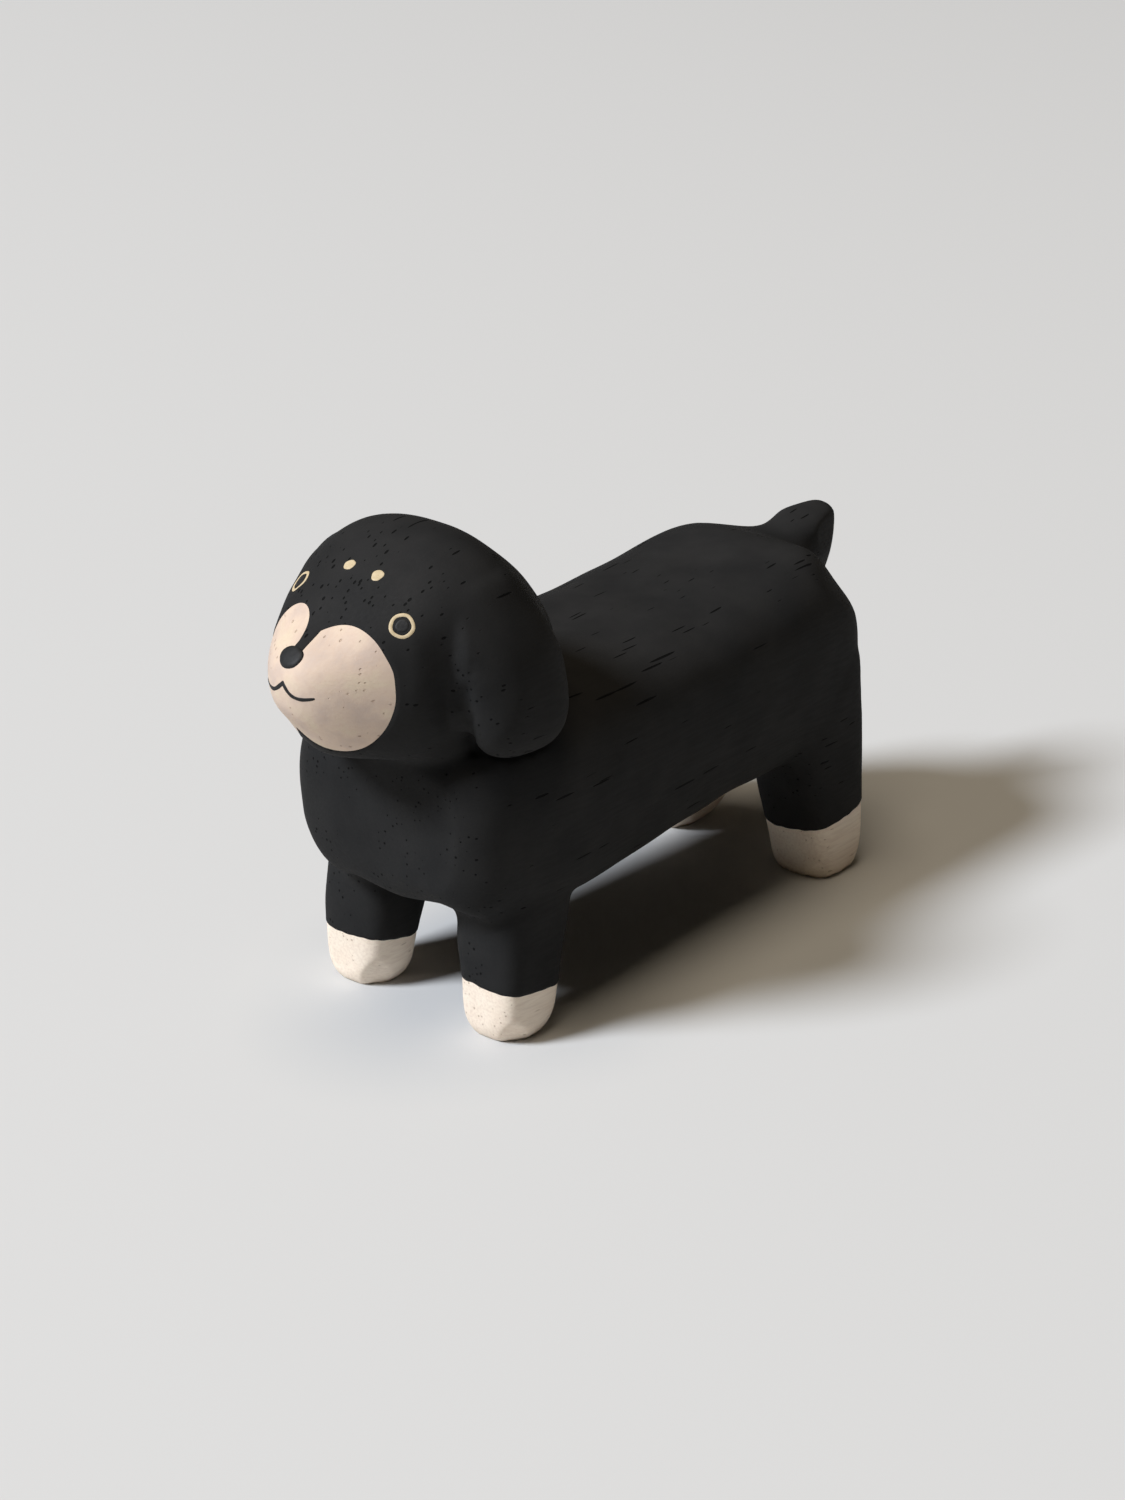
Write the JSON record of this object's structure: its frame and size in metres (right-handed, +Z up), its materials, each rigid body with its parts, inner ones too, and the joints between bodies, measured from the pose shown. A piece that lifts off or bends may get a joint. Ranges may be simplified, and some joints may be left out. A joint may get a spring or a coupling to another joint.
{
  "type": "carved wooden dog figurine",
  "caption": "Small standing dog carved from one block of pale wood, painted matte black with bare muzzle and paws and a painted face; stands on four flat paws.",
  "frame": {"origin": "on the surface the dog stands on, under the middle of its overall box", "axes": "+Z up, -Y the way the dog faces, +X the dog's own left"},
  "size_m": [0.0397, 0.1081, 0.0666],
  "materials": {
    "bare_wood": "bare pale open-pored wood, sanded, with chisel facets on the paws",
    "black_paint": "thin matte black paint that lets the wood's pores show",
    "cream_paint": "matte cream paint, brushed on",
    "black_detail_paint": "black paint, slightly satin, brushed on"
  },
  "bodies": {
    "root": {"carved_body": "bare_wood", "black_coat": "black_paint", "left_eye_ring": "cream_paint", "right_eye_ring": "cream_paint", "left_pupil": "black_detail_paint", "right_pupil": "black_detail_paint", "left_brow_dot": "cream_paint", "right_brow_dot": "cream_paint", "nose": "black_detail_paint", "mouth_line": "black_detail_paint"}
  },
  "joints": []
}
